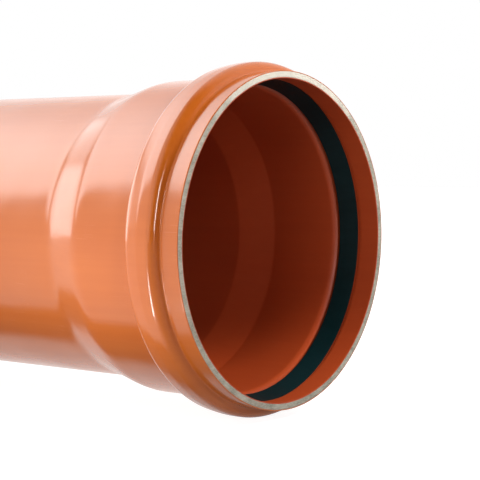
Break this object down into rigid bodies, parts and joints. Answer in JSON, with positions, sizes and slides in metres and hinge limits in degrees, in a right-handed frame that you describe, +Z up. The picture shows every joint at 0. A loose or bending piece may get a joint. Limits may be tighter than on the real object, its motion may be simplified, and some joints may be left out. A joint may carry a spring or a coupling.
{
  "type": "sewer pipe",
  "caption": "Gravity sewer pipe with a belled socket at one end, a rubber sealing ring in the socket's bead, and a plain bevelled spigot at the other.",
  "frame": {"origin": "on the floor under the middle of the pipe's length, midway across it; the pipe's axis is 94.6 mm above it", "axes": "+X along the pipe's axis and out of the socket's mouth, +Z up, with the pipe lying on its side"},
  "size_m": [1.0936, 0.1892, 0.1892],
  "materials": {
    "orange_pvc": "gloss",
    "black_rubber": "satin",
    "grey_core": "matte"
  },
  "bodies": {
    "root": {"pipe": "orange_pvc", "sealing_ring": "black_rubber"}
  },
  "joints": []
}
